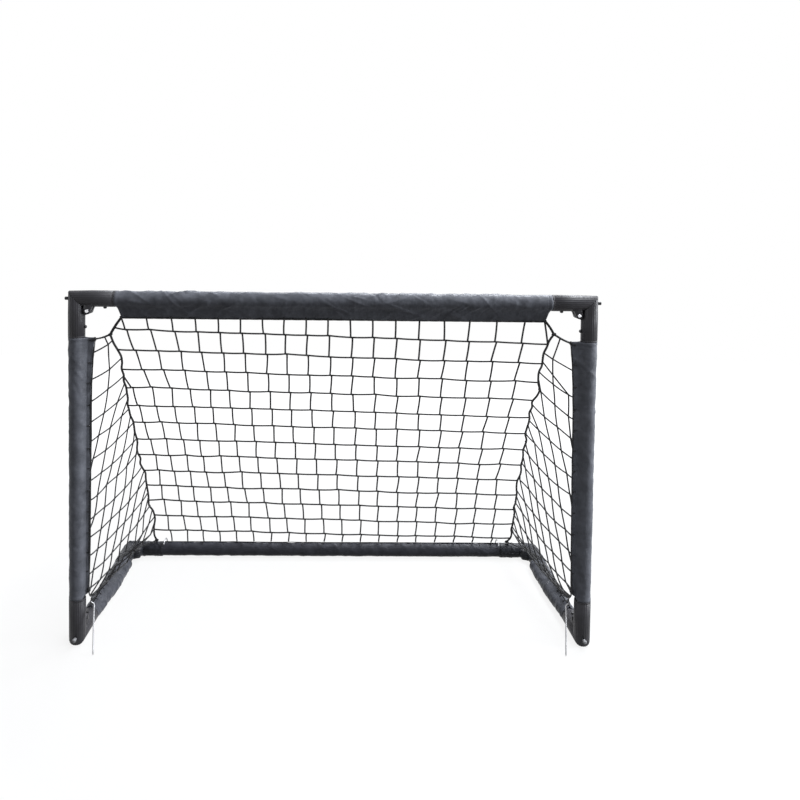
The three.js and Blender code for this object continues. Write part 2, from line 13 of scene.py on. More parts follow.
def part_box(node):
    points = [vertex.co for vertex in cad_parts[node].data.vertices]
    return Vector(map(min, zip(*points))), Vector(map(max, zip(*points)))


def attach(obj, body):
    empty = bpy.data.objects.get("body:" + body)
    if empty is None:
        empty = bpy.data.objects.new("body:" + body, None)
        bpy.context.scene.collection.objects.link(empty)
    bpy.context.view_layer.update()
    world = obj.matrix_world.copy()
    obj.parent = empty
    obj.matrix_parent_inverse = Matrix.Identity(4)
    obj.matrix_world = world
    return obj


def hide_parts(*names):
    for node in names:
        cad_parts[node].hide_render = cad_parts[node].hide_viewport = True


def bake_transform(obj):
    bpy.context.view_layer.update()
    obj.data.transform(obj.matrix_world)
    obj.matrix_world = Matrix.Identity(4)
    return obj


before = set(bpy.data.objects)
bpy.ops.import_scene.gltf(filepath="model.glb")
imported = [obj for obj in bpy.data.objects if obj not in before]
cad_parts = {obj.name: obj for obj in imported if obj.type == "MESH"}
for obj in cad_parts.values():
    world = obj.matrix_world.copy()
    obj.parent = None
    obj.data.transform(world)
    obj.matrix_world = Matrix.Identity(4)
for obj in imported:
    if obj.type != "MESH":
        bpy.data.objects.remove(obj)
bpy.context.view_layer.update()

MM = 0.001
QUARTER_TURN = math.pi / 2
FULL_TURN = 2 * math.pi

RIGHT = Vector((1, 0, 0))
LEFT = -RIGHT
BACK = Vector((0, 1, 0))
FRONT = -BACK
UP = Vector((0, 0, 1))
DOWN = -UP
SIDES = {"left": -1, "right": 1}
INWARD = {"left": RIGHT, "right": LEFT}


def middle(node):
    low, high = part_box(node)
    return (low + high) / 2


# Places of the frame's axes
POST_X = middle("right_post_tube").x
FRONT_Y = middle("crossbar_tube").y
REAR_Y = middle("rear_tube").y
CROSSBAR_Z = middle("crossbar_tube").z
BASE_Z = middle("rear_tube").z
DEPTH = REAR_Y - FRONT_Y
CORNERS = {"top": (FRONT_Y, CROSSBAR_Z), "foot": (FRONT_Y, BASE_Z), "rear": (REAR_Y, BASE_Z)}

# Elbows
ELBOW_RADIUS = 14 * MM
ARM_END = 66 * MM
CORNER_REACH = ELBOW_RADIUS * math.sqrt(2)
BORE_RADIUS = 11.3 * MM
BORE_DEPTH = 20 * MM
FLUTES = 24
FLUTE_DEPTH = 0.3 * MM
PIN_PLACE = 20.3 * MM
LUG_RADIUS = 5.8 * MM
LUG_HALF_WIDTH = 10 * MM
MIDDLE_HALF_WIDTH = 4 * MM
POST_RUN = CROSSBAR_Z - BASE_Z - 2 * ARM_END
KNUCKLE_GAP = 0.3 * MM
LUG_CHAMFER = 0.6 * MM
SCREW_PLACE = 48 * MM

# Cloth. The reach of a flap or a hem counts from the tube's axis.
SLEEVE_RADIUS = 13.5 * MM
CLOTH_THICKNESS = 0.9 * MM
CROSSBAR_FLAP = 33 * MM
POST_FLAP = 23 * MM
HEM = 16.4 * MM
REAR_HEM = 14.6 * MM
LIP = 1.3 * MM
ROUND_STEPS = 44
HEM_ROLL = 4.5 * MM
SEAM_PLACE = 5 * MM
NECK_TURN = math.radians(36)
NECK_RUN = 6.5 * MM
NECK_FOOT = 0.7
FLAP_SLANT = 7 * MM
POST_SLANT = 8 * MM
END_SLANT = 90 * MM
FLAP_LEAN = 9 * MM
FRONT_SHARE = 0.42
FLARE, FLARE_LENGTH = 7.9 * MM, 55 * MM
TAPER, TAPER_LENGTH = 4.6 * MM, 130 * MM
SIDE_SLACK = 7.2  # millimetres
LOOSE_FROM = 110 * MM
CRUMPLE, FINE_CRUMPLE, FINE_SHARE = 21 * MM, 9 * MM, 0.45
FLOOR_GAP = 0.6 * MM
LACING_RADIUS = 0.7 * MM

# Net
CORD_RADIUS = 1.3 * MM
BACK_RADIUS = 1.6 * MM
ROPE_RADIUS = 2.0 * MM
ROPE_INSET = 64 * MM

# Pegs
PEG_RADIUS = 1.25 * MM


def corner(side, which):
    """The place where the axes of an elbow's two arms meet."""
    return Vector((SIDES[side] * POST_X, *CORNERS[which]))


def polar(radius, angle):
    return radius * math.cos(angle), radius * math.sin(angle)


def turns(count):
    """That many angles, evenly round a circle."""
    return [FULL_TURN * n / count for n in range(count)]


# Mesh building


def placed(name, data):
    """A new object in the scene."""
    made = bpy.data.objects.new(name, data)
    bpy.context.scene.collection.objects.link(made)
    return made


class Shape:
    """Vertices and faces of one piece, collected part by part."""

    def __init__(self):
        self.points = []
        self.faces = []
        self.uvs = []

    def add(self, points, faces, uvs=None):
        start = len(self.points)
        self.points += [Vector(p) for p in points]
        self.faces += [[start + i for i in face] for face in faces]
        self.uvs += uvs or [(0.0, 0.0)] * len(points)
        return self

    def moved(self, matrix):
        self.points = [matrix @ p for p in self.points]
        return self

    def build(self, name, finish, body, slot, cad=None):
        mesh = bpy.data.meshes.new(name)
        mesh.from_pydata(self.points, [], self.faces)
        layer = mesh.uv_layers.new(name="UVMap")
        corners = np.zeros(len(mesh.loops), np.int32)
        mesh.loops.foreach_get("vertex_index", corners)
        layer.data.foreach_set("uv", np.array(self.uvs, float)[corners].ravel())
        mesh.materials.append(finish)
        mesh.polygons.foreach_set("use_smooth", [True] * len(mesh.polygons))
        mesh.update()
        piece = placed(name, mesh)
        if body:
            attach(piece, body)
        if cad:
            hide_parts(cad)
        return piece


def grid_faces(rows, columns, wrapped=False):
    """Quads between rows of points. A wrapped row closes on itself."""
    faces = []
    for here in range(0, (rows - 1) * columns, columns):
        above = here + columns
        for n in range(columns if wrapped else columns - 1):
            after = (n + 1) % columns
            faces.append([here + n, here + after, above + after, above + n])
    return faces


def tube_faces(rows, sides):
    """Quads between rows that close on themselves, with a cap at each end."""
    last = (rows - 1) * sides
    return [*grid_faces(rows, sides, True), list(range(sides))[::-1], [last + n for n in range(sides)]]


def sweep(shape, line, radius, sides=8, radius_at=None, section=None):
    """A round cord along a line, without twist and closed at both ends.

    radius_at(share of the way) and section(angle, distance) scale its radius."""
    last = len(line) - 1
    normal = (line[1] - line[0]).normalized().orthogonal().normalized()
    rings = []
    travelled = 0.0
    for i, point in enumerate(line):
        before = line[max(i - 1, 0)]
        travelled += (point - before).length
        direction = (line[min(i + 1, last)] - before).normalized()
        normal = (normal - direction * normal.dot(direction)).normalized()
        across = direction.cross(normal)
        own = radius_at(i / last) * radius if radius_at else radius
        for angle in turns(sides):
            reach = own * (section(angle, travelled) if section else 1)
            rings.append(point + (normal * math.cos(angle) + across * math.sin(angle)) * reach)
    shape.add(rings, tube_faces(len(line), sides))


def smooth_line(points, steps):
    """A Catmull-Rom curve through the points, with that many steps between neighbours."""
    padded = [2 * points[0] - points[1], *points, 2 * points[-1] - points[-2]]
    line = []
    for i in range(len(points) - 1):
        a, b, c, d = padded[i : i + 4]
        for n in range(steps):
            t = n / steps
            square, cube = 2 * a - 5 * b + 4 * c - d, 3 * b - a - 3 * c + d
            line.append(0.5 * (2 * b + (c - a) * t + square * t**2 + cube * t**3))
    line.append(points[-1])
    return line


def lathe(profile, sides=32):
    """A shape turned round +Z from radii and heights in millimetres, closed at its ends."""
    points = [(*polar(radius * MM, angle), height * MM) for radius, height in profile for angle in turns(sides)]
    return Shape().add(points, tube_faces(len(profile), sides))


def extruded(shape, outline, low, high, chamfer):
    """An outline in the X and Z plane, drawn from low to high along Y with bevelled edges."""
    centre = Vector((sum(p[0] for p in outline) / len(outline), sum(p[1] for p in outline) / len(outline)))
    small = []
    for point in outline:
        inward = centre - Vector(point)
        small.append(Vector(point) + inward.normalized() * min(chamfer, inward.length))
    rings = []
    for ring, y in ((small, low), (outline, low + chamfer), (outline, high - chamfer), (small, high)):
        rings += [(p[0], y, p[1]) for p in ring]
    shape.add(rings, [face[::-1] for face in tube_faces(4, len(outline))])


def facing_frame(along, facing, at):
    """Takes a shape drawn along +Z, its marked side towards +X, to lie along one direction and face another."""
    matrix = Matrix((facing, along.cross(facing), along)).transposed().to_4x4()
    matrix.translation = at
    return matrix


# Materials


def plug(made, inputs):
    """Sets a node's inputs, and links those whose value is another node's output."""
    for key, value in inputs.items():
        if isinstance(value, bpy.types.NodeSocket):
            made.id_data.links.new(value, made.inputs[key])
        else:
            made.inputs[key].default_value = value


def node(tree, kind, inputs=None, **settings):
    made = tree.nodes.new(kind)
    for key, value in settings.items():
        setattr(made, key, value)
    plug(made, inputs or {})
    return made


def material(name, color, roughness, metallic=0.0, specular=0.5, sheen=0.0, sheen_tint=(1, 1, 1)):
    made = bpy.data.materials.new(name)
    made.use_nodes = True
    made.diffuse_color = (*color, 1)
    shader = made.node_tree.nodes["Principled BSDF"]
    plug(shader, {"Base Color": (*color, 1), "Roughness": roughness, "Metallic": metallic})
    plug(shader, {"Specular IOR Level": specular, "Sheen Weight": sheen})
    plug(shader, {"Sheen Roughness": 0.35, "Sheen Tint": (*sheen_tint, 1)})
    return made, made.node_tree, shader


def coordinates(tree, kind):
    return node(tree, "ShaderNodeTexCoord").outputs[kind]


def noise_of(place, scale, detail=3.0, roughness=0.5, stretch=(1, 1, 1)):
    mapping = node(place.id_data, "ShaderNodeMapping", {"Scale": stretch, "Vector": place})
    inputs = {"Scale": scale, "Detail": detail, "Roughness": roughness, "Vector": mapping.outputs["Vector"]}
    return node(place.id_data, "ShaderNodeTexNoise", inputs).outputs["Fac"]


def shades(value, color, dark, pale):
    """A colour between a darker and a paler share of itself, over the middle of a noise's range."""
    made = node(value.id_data, "ShaderNodeValToRGB", {"Fac": value})
    for element, place, share in zip(made.color_ramp.elements, (0.35, 0.65), (dark, pale)):
        element.position = place
        element.color = (*(c * share for c in color), 1)
    return made.outputs["Color"]


def spread(value, low, high, start=0.3, end=0.7):
    """A number from low to high, as the value goes from start to end."""
    inputs = {"From Min": start, "From Max": end, "To Min": low, "To Max": high, "Value": value}
    return node(value.id_data, "ShaderNodeMapRange", inputs).outputs["Result"]


def bumps(*layers):
    """The surface that height maps give, each with a strength and a depth in metres."""
    below = {}
    for height, strength, depth in layers:
        inputs = {"Strength": strength, "Distance": depth, "Height": height, **below}
        below = {"Normal": node(height.id_data, "ShaderNodeBump", inputs).outputs["Normal"]}
    return below["Normal"]


def plastic_material(name, color, roughness):
    made, tree, shader = material(name, color, roughness, specular=0.22)
    place = coordinates(tree, "Object")
    clouds = noise_of(place, 60, 4)
    scuffs = noise_of(place, 240, 5, 0.65, (1, 1, 0.3))
    grain = noise_of(place, 2600, 2)
    plug(shader, {"Base Color": shades(clouds, color, 0.86, 1.18)})
    plug(shader, {"Roughness": spread(scuffs, roughness - 0.07, roughness + 0.12)})
    plug(shader, {"Normal": bumps((grain, 0.25, 0.0001), (scuffs, 0.12, 0.0003))})
    return made


def metal_material(name, color, roughness, metallic):
    made, tree, shader = material(name, color, roughness, metallic)
    place = coordinates(tree, "Object")
    spangle = noise_of(place, 420, 3)
    plug(shader, {"Base Color": shades(spangle, color, 0.82, 1.08)})
    plug(shader, {"Roughness": spread(spangle, roughness - 0.06, roughness + 0.1)})
    plug(shader, {"Normal": bumps((noise_of(place, 1500, 2), 0.15, 0.0001))})
    return made


def cloth_material(name, color, roughness):
    """Coated woven cloth. Its UV map is the flat cut in metres, so that the weave follows the cloth."""
    made, tree, shader = material(name, color, roughness, specular=0.11, sheen=0.05, sheen_tint=(0.78, 0.84, 1.0))
    cut = coordinates(tree, "UV")
    threads = []
    for direction in ("X", "Y"):
        inputs = {"Scale": 420.0, "Distortion": 0.6, "Detail": 1.0, "Vector": cut}
        wave = node(tree, "ShaderNodeTexWave", inputs, wave_type="BANDS", bands_direction=direction)
        threads.append(wave.outputs["Fac"])
    weave = node(tree, "ShaderNodeMath", dict(enumerate(threads)), operation="MULTIPLY").outputs["Value"]
    clouds = noise_of(cut, 38, 5, 0.6)
    worn = noise_of(cut, 95, 5, 0.6, (1, 0.4, 1))
    creases = noise_of(cut, 170, 4, 0.7)
    rumples = noise_of(cut, 42, 3, 0.6, (1, 0.5, 1))
    plug(shader, {"Base Color": shades(clouds, color, 0.8, 1.3)})
    plug(shader, {"Roughness": spread(worn, roughness - 0.08, roughness + 0.12)})
    plug(shader, {"Normal": bumps((weave, 0.22, 0.0002), (creases, 0.3, 0.0008), (rumples, 0.35, 0.004))})
    return made


def cord_material(name, color, roughness, scale):
    made, tree, shader = material(name, color, roughness, specular=0.3, sheen=0.15)
    fibre = noise_of(coordinates(tree, "Object"), scale, 4, 0.7)
    plug(shader, {"Base Color": shades(fibre, color, 0.6, 1.6), "Normal": bumps((fibre, 0.5, 0.0003))})
    return made


ELBOW_PLASTIC = plastic_material("elbow_plastic", (0.030, 0.029, 0.033), 0.4)
BUTTON_PLASTIC = plastic_material("button_plastic", (0.028, 0.028, 0.030), 0.25)
# The buttons at the feet: the black button plastic painted pale grey, as a painted highlight.
PAINTED_GLINT_BUTTON = plastic_material("painted_glint_button", (0.30, 0.30, 0.31), 0.25)
TUBE_STEEL = metal_material("tube_steel", (0.09, 0.095, 0.105), 0.4, 0.6)
# Black steel for the screws. On the rivets at the feet the same black is painted shade over their bright steel.
BLACK_STEEL_AND_PAINTED_SHADE = metal_material("black_steel_and_painted_shade", (0.03, 0.03, 0.032), 0.4, 0.5)
BRIGHT_STEEL = metal_material("bright_steel", (0.72, 0.72, 0.74), 0.28, 1.0)
ZINC_WIRE = metal_material("zinc_wire", (0.36, 0.36, 0.37), 0.4, 0.7)
SLEEVE_CLOTH = cloth_material("sleeve_cloth", (0.098, 0.102, 0.117), 0.42)
# The rear sleeve's cloth is the sleeve cloth painted darker, as shade.
REAR_CLOTH_PAINTED_SHADE = cloth_material("rear_cloth_painted_shade", (0.032, 0.033, 0.040), 0.36)
# The side sleeves' cloth is the sleeve cloth painted darker, as shade.
SIDE_CLOTH_PAINTED_SHADE = cloth_material("side_cloth_painted_shade", (0.052, 0.054, 0.063), 0.4)
WRAP_CLOTH = cloth_material("wrap_cloth", (0.019, 0.020, 0.024), 0.26)
NET_CORD = cord_material("net_cord", (0.005, 0.005, 0.006), 0.65, 1800)


# Elbows


def elbow_half(has_middle_knuckle, bluntness, sharpness):
    """Half of an elbow, its arm along +Z and the other half's arm along +X. They meet on the plane z = x.

    The outer corner is drawn in by the share bluntness. A high sharpness keeps that close to its tip."""
    angles = turns(FLUTES * 8)
    # Each ring: its share of the way from the mitre to the arm's end, then millimetres along and outwards
    rings = (
        ((0, 0.15, -0.5), (0, 0.45, -0.15), (0, 0.9, 0), (0.5, 0, 0), (1, -3.4, 0), (1, -3.1, -0.4))
        + ((1, -2.5, -0.4), (1, -2.2, 0), (1, -0.9, 0), (1, -0.3, -0.25), (1, 0, -0.8))
    )
    points = []
    for share, offset, raised in rings:
        for angle in angles:
            flute = FLUTE_DEPTH * (0.5 - 0.5 * math.cos(FLUTES * angle)) ** 2
            radius = ELBOW_RADIUS + raised * MM - flute
            x, y = polar(radius, angle)
            points.append(Vector((x, y, x + (ARM_END - x) * share + offset * MM)))
    for depth in (0, BORE_DEPTH):
        points += [Vector((*polar(BORE_RADIUS, angle), ARM_END - depth)) for angle in angles]
    outwards = Vector((-1, 0, -1)).normalized()
    for point in points:
        reach = point.dot(outwards)
        if reach > 0:
            point -= outwards * reach * bluntness * (reach / CORNER_REACH) ** sharpness
    shape = Shape().add(points, tube_faces(len(rings) + 2, len(angles)))
    lug = [(9 * MM, 15.4 * MM)]
    for n in range(17):
        x, z = polar(LUG_RADIUS, math.radians(-90 + n * 8.5))
        lug.append((PIN_PLACE + x, PIN_PLACE + z))
    lug += [(17 * MM, 27 * MM), (15 * MM, 28.5 * MM), (13 * MM, 29 * MM), (9 * MM, 29 * MM)]
    if has_middle_knuckle:
        spans = [(-MIDDLE_HALF_WIDTH, MIDDLE_HALF_WIDTH)]
    else:
        inner = MIDDLE_HALF_WIDTH + KNUCKLE_GAP
        spans = [(-LUG_HALF_WIDTH, -inner), (inner, LUG_HALF_WIDTH)]
    for low, high in spans:
        extruded(shape, lug, low, high, LUG_CHAMFER)
    return shape


def hinge_pin():
    end = (LUG_HALF_WIDTH + KNUCKLE_GAP) / MM
    head = [(3.0, 0.0), (3.0, 0.5), (2.6, 1.0), (1.8, 1.2), (0.01, 1.25)]
    shank = [(1.8, 0.01 - end), (1.8, end - 0.01)]
    across = Matrix.Translation((PIN_PLACE, 0, PIN_PLACE)) @ Matrix.Rotation(QUARTER_TURN, 4, "X")
    return lathe([(r, -end - h) for r, h in head[::-1]] + shank + [(r, end + h) for r, h in head]).moved(across)


def lock_button():
    """A round button on the outer side, at -X, of the half that carries it."""
    profile = [(0.01, -7.8), (2.9, -7.8), (2.9, 4.6), (2.75, 5.1), (2.3, 5.5), (1.5, 5.75), (0.7, 5.8), (0.01, 5.8)]
    outward = Matrix.Translation((-ELBOW_RADIUS, 0, 0)) @ Matrix.Rotation(-QUARTER_TURN, 4, "Y")
    return lathe(profile).moved(outward)


def arm_screw():
    """A pan-head screw on the inner side of an arm."""
    shank = [(0.01, -5), (1.6, -5), (1.6, 0)]
    head = [(2.9, 0.05), (2.9, 1.4), (2.5, 2.3), (1.7, 2.9), (0.9, 3.0), (0.01, 3.0)]
    place = Matrix.Translation((ELBOW_RADIUS, 0, SCREW_PLACE)) @ Matrix.Rotation(QUARTER_TURN, 4, "Y")
    return lathe(shank + head, 24).moved(place)


# How blunt each elbow's outer corner is, and how close to its tip
CORNER_FORMS = {"top": (0.09, 5), "foot": (0.17, 2), "rear": (0.3, 2)}

for side in SIDES:
    elbows = (
        ("top", ("post", DOWN, "front_frame"), ("crossbar", INWARD[side], "front_frame")),
        ("foot", ("post", UP, "front_frame"), ("side", BACK, "base_frame")),
        ("rear", ("rear_bar", INWARD[side], "base_frame"), ("side", FRONT, "base_frame")),
    )
    for which, knuckled, forked in elbows:
        name = f"{side}_{which}"
        at = corner(side, which)
        for own, other in ((knuckled, forked), (forked, knuckled)):
            part, along, body = own
            place = facing_frame(along, other[1], at)
            half = elbow_half(own is knuckled, *CORNER_FORMS[which]).moved(place)
            cad = f"{name}_elbow_{part}_half"
            half.build(f"{name}_moulded_{part}_half", ELBOW_PLASTIC, body, "elbow_plastic", cad)
            if which != "rear":
                screw = arm_screw().moved(place)
                screw.build(f"{name}_{part}_pan_screw", BLACK_STEEL_AND_PAINTED_SHADE, body, "tube_steel", f"{name}_{part}_screw")
        place = facing_frame(knuckled[1], forked[1], at)
        # At the feet the rivets are painted dark, as shade, and the buttons paler, as a painted highlight.
        steel, plastic = (BLACK_STEEL_AND_PAINTED_SHADE, PAINTED_GLINT_BUTTON) if which == "foot" else (BRIGHT_STEEL, BUTTON_PLASTIC)
        hinge_pin().moved(place).build(f"{name}_rivet", steel, knuckled[2], "bright_steel", f"{name}_hinge_pin")
        cad = f"{name}_lock_button"
        lock_button().moved(place).build(f"{name}_round_button", plastic, cad, "button_plastic", cad)

for name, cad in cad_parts.items():
    if name.endswith("_tube"):
        cad.data.materials.clear()
        cad.data.materials.append(TUBE_STEEL)


# Sleeves


def sleeve_profile(reach):
    """A sleeve's section, from one face of its flap round the tube to the other face.

    Each point is its place towards the flap, its place across, and its share of the way down the flap.
    A flap stands on a hollow neck. A hem, which is too short for one, runs straight from the tube."""
    on_neck = reach > HEM
    turn = NECK_TURN if on_neck else math.acos(SLEEVE_RADIUS / math.hypot(reach, LIP)) + math.atan2(LIP, reach)
    touch = Vector(polar(SLEEVE_RADIUS, turn))
    edge = Vector((reach, LIP))
    if on_neck:
        bend = touch + Vector((math.sin(turn), -math.cos(turn))) * NECK_RUN
        foot = Vector((reach - NECK_FOOT * (reach - SLEEVE_RADIUS), LIP * 1.3))
    else:
        foot = edge.lerp(touch, 0.5)
        bend = foot.lerp(touch, 0.5)
    steps = 8 if on_neck else 2
    line = [edge.lerp(foot, n / steps) for n in range(steps)]
    for n in range(steps):
        t = n / steps
        line.append(foot * (1 - t) ** 2 + bend * 2 * t * (1 - t) + touch * t**2)
    flap = [(place.x, place.y, min(1.0, max(0.0, (place.x - touch.x) / (reach - touch.x)))) for place in line]
    rounds = [turn + (FULL_TURN - 2 * turn) * n / ROUND_STEPS for n in range(ROUND_STEPS + 1)]
    points = flap + [(*polar(SLEEVE_RADIUS, angle), 0.0) for angle in rounds]
    return points + [(u, -v, share) for u, v, share in flap[::-1]]


def crease_height(along, around, folds):
    """The height of the folds over the plain cloth: a sharp crest with long slopes."""
    height = np.zeros_like(along)
    for place, over, angle, reach, breadth, rise in folds:
        dx = along - place
        dy = around - over
        run = dx * math.cos(angle) + dy * math.sin(angle)
        off = -dx * math.sin(angle) + dy * math.cos(angle)
        height += rise * np.exp(-np.abs(off / breadth)) * np.exp(-((run / reach) ** 2))
    return height


def crumpled(along, around, size, seed):
    """Ridged noise from -1 to 1, for cloth that was folded up before."""
    field = np.empty(along.shape)
    for index in np.ndindex(along.shape):
        place = Vector((along[index] / size, around[index] / size, seed))
        field[index] = 1 - 4 * abs(noise.noise(place))
    return field


def cloth_piece(points, along, around, name, cloth, body, cad, outward_from):
    """Cloth through points in rows, whose places on the flat cut are along and around, thickened inwards."""
    shape = Shape().add(points, grid_faces(*along.shape), list(zip(along.ravel(), around.ravel())))
    piece = shape.build(name, cloth, body, "sleeve_fabric", cad)
    mesh = bmesh.new()
    mesh.from_mesh(piece.data)
    bmesh.ops.recalc_face_normals(mesh, faces=mesh.faces)
    inward = 0
    for face in mesh.faces:
        centre = face.calc_center_median()
        inward += 1 if face.normal.dot(centre - outward_from(centre)) < 0 else -1
    if inward > 0:
        bmesh.ops.reverse_faces(mesh, faces=mesh.faces)
    mesh.to_mesh(piece.data)
    mesh.free()
    solid = piece.modifiers.new("thickness", "SOLIDIFY")
    solid.thickness = CLOTH_THICKNESS
    solid.offset = -1
    return piece


def section_normals(section, reach):
    """Outward directions at the points of a section."""
    steps = np.gradient(section, axis=0)
    normals = np.stack([-steps[:, 1], steps[:, 0]], axis=1)
    normals /= np.linalg.norm(normals, axis=1)[:, None]
    normals *= np.sign((normals * (section - np.array([reach * 0.3, 0]))).sum(axis=1))[:, None]
    return normals


@dataclass
class Sleeve:
    """A cloth sleeve on a tube between two elbows, with its flap towards one direction.

    slant draws the flap's two ends in, and flare(place) makes it longer. sway is how far its edge waves and lean
    how far it leans. The cloth hangs loose by the length of loose, towards that side."""

    which: str
    body: str
    ends: tuple
    facing: Vector
    reach: float
    seed: int
    sway: float
    slant: tuple = (0, 0)
    flare: object = None
    lean: float = 0.0
    loose: object = None

    def __post_init__(self):
        start, end = self.ends
        self.along = (end - start).normalized()
        self.across = self.along.cross(self.facing)
        self.length = (end - start).length - 2 * ARM_END - 2 * KNUCKLE_GAP
        self.origin = start + self.along * (ARM_END + KNUCKLE_GAP)
        self.profile = sleeve_profile(self.reach)
        section = np.array([(u, v) for u, v, _ in self.profile])
        self.normals = section_normals(section, self.reach)
        steps = np.linalg.norm(np.diff(section, axis=0), axis=1)
        self.widths = [0.0, *np.cumsum(steps).tolist()]

    def wave(self, at, rate, phase):
        """Smooth noise along the sleeve, from -1 to 1."""
        return noise.noise(Vector((at * rate, self.seed, phase)))

    def place(self, at, j, lift=0.0):
        """A point of the cloth: at a length along it, at a point of its section, raised from its surface."""
        u, v, share = self.profile[j]
        du, dv = self.normals[j]
        if self.loose:
            local = Vector((self.loose.dot(self.facing), self.loose.dot(self.across)))
            slack = max(0.0, du * local.x + dv * local.y) ** 2 / local.length
            lift += slack * (min(1.0, at / LOOSE_FROM) * (1 + 0.15 * self.wave(at, 16, 0.5)))
        sway = share**2 * (self.lean + self.sway * self.wave(at, 7, 0.3))
        flare = self.flare(at) if self.flare else 0.0
        reach = share * (flare + 0.2 * self.sway * self.wave(at, 9, 4.1))
        near = self.slant[0] * max(0.0, 1 - at / END_SLANT)
        far = self.slant[1] * max(0.0, 1 - (self.length - at) / END_SLANT)
        place = self.origin + self.along * (at + share**0.5 * (near - far))
        place = place + self.facing * (u + du * lift + reach) + self.across * (v + dv * lift + sway)
        place.z = max(place.z, FLOOR_GAP)
        return place

    def folds(self, count, start, end, rise, seen_from=0.0):
        """Random creases between two places along the cloth: where, how turned, how long, broad and high.

        They lie from one share of the way round the section to its end."""
        return [
            (
                rng.uniform(start, end),
                rng.uniform(seen_from, 1) * self.widths[-1],
                math.radians(rng.uniform(12, 52)) * rng.choice((-1, 1)),
                rng.uniform(12, 34) * MM,
                rng.uniform(1.5, 3.0) * MM,
                rng.uniform(0.5, 1) * rise * rng.choice((1, 1, -0.7)),
            )
            for _ in range(count)
        ]

    def dress(self, folds, rough, step, cloth=SLEEVE_CLOTH):
        stations = np.linspace(0, self.length, int(self.length / step) + 1)
        along, around = np.meshgrid(stations, self.widths, indexing="ij")
        height = crease_height(along, around, folds)
        height += rough * crumpled(along, around, CRUMPLE, self.seed + 0.5)
        height += FINE_SHARE * rough * crumpled(along, around, FINE_CRUMPLE, self.seed + 7.5)
        # Smoother towards the ends, which are rolled hems with a stitched groove beside them
        ends = np.minimum(along, self.length - along)
        height *= np.clip((ends - HEM_ROLL) / (8 * MM), 0.15, 1)
        height -= 0.6 * max(0.0, float(height.mean()))
        height += 0.4 * MM * (ends < HEM_ROLL)
        height -= 0.35 * MM * np.exp(-(((ends - HEM_ROLL - 0.8 * MM) / (0.7 * MM)) ** 2))
        if self.reach > HEM:
            down = np.array([share for _, _, share in self.profile])[None, :]
            height -= 0.3 * MM * np.exp(-(((1 - down) * self.reach - SEAM_PLACE) / (0.8 * MM)) ** 2)
        points = [self.place(stations[i], j, height[i, j]) for i, j in np.ndindex(height.shape)]

        def core(point):
            return self.origin + self.along * (point - self.origin).dot(self.along) + self.facing * (0.2 * self.reach)

        name, cad, tube = (f"{self.which}_{kind}" for kind in ("cloth_sleeve", "sleeve", "tube"))
        piece = cloth_piece(points, along, around, name, cloth, self.body, cad, core)

    def lace(self, spacing, depth):
        """A cord that runs along the free edge and is looped round it."""
        own = random.Random(self.seed + 20)
        shape = Shape()
        lift = LACING_RADIUS * 0.8
        last = len(self.profile) - 1
        ends = [j for j, width in enumerate(self.widths) if width <= depth]
        run = self.length - 2 * HEM_ROLL
        count = round(run / spacing)
        previous = None
        for n in range(count + 1):
            at = HEM_ROLL + run * n / count
            if 0 < n < count:
                at += own.uniform(-0.06, 0.06) * spacing
            tilt = own.uniform(-1, 1) * 1.2 * MM
            one = [self.place(at + tilt * (1 - k / len(ends)), j, lift) for k, j in enumerate(ends[::-1], 1)]
            other = [self.place(at - tilt * k / len(ends), last - j, lift) for k, j in enumerate(ends)]
            top = self.place(at, 0) + self.facing * (LACING_RADIUS + 0.3 * MM)
            top = top + (self.place(at, last) - self.place(at, 0)) * 0.5
            sweep(shape, smooth_line([*one, top, *other], 3), LACING_RADIUS)
            if previous:
                slack = previous.lerp(top, 0.5) + self.facing * own.uniform(-0.2, 0.5) * MM
                sweep(shape, smooth_line([previous, slack, top], 3), LACING_RADIUS)
            previous = top
        shape.build(f"{self.which}_lacing", NET_CORD, self.body, "net_cord")


def post_flare(drop):
    """How much further the post's flap reaches at a distance below its top. It is narrower at the foot."""
    return FLARE * math.exp(-drop / FLARE_LENGTH) - TAPER * math.exp(-(POST_RUN - drop) / TAPER_LENGTH)


rng = random.Random(7)


def crossbar_sleeve():
    ends = corner("left", "top"), corner("right", "top")
    slant = (FLAP_SLANT, FLAP_SLANT)
    made = Sleeve("crossbar", "front_frame", ends, DOWN, CROSSBAR_FLAP, 1, 3 * MM, slant, lean=FLAP_LEAN)
    folds = made.folds(24, 0.02, 0.2, 1.6 * MM, FRONT_SHARE)
    folds += made.folds(40, 0.36, 0.64, 1.9 * MM, FRONT_SHARE)
    folds += made.folds(40, 0.05, 0.7, 1.1 * MM, FRONT_SHARE)
    made.dress(folds, 0.3 * MM, 1.9 * MM)


def post_sleeve(side, seed):
    ends = corner(side, "foot"), corner(side, "top")
    form = {"slant": (POST_SLANT, 0), "flare": lambda at: post_flare(POST_RUN - at)}
    made = Sleeve(f"{side}_post", "front_frame", ends, INWARD[side], POST_FLAP, seed, 3 * MM, **form)
    folds = made.folds(16, 0.33, 0.43, 1.3 * MM)
    folds += made.folds(22, 0.02, 0.42, 0.8 * MM)
    made.dress(folds, 0.25 * MM, 2.0 * MM)
    made.lace(37 * MM, 5 * MM)


def side_sleeve(side, seed):
    ends = corner(side, "foot"), corner(side, "rear")
    loose = (INWARD[side] - UP * 0.25).normalized() * SIDE_SLACK * MM
    made = Sleeve(f"{side}_side", "base_frame", ends, UP, HEM, seed, 1.5 * MM, loose=loose)
    # Its cloth is painted darker, as shade.
    made.dress(made.folds(44, 0.0, made.length, 1.0 * MM), 0.5 * MM, 1.7 * MM, SIDE_CLOTH_PAINTED_SHADE)
    made.lace(18 * MM, 5.5 * MM)


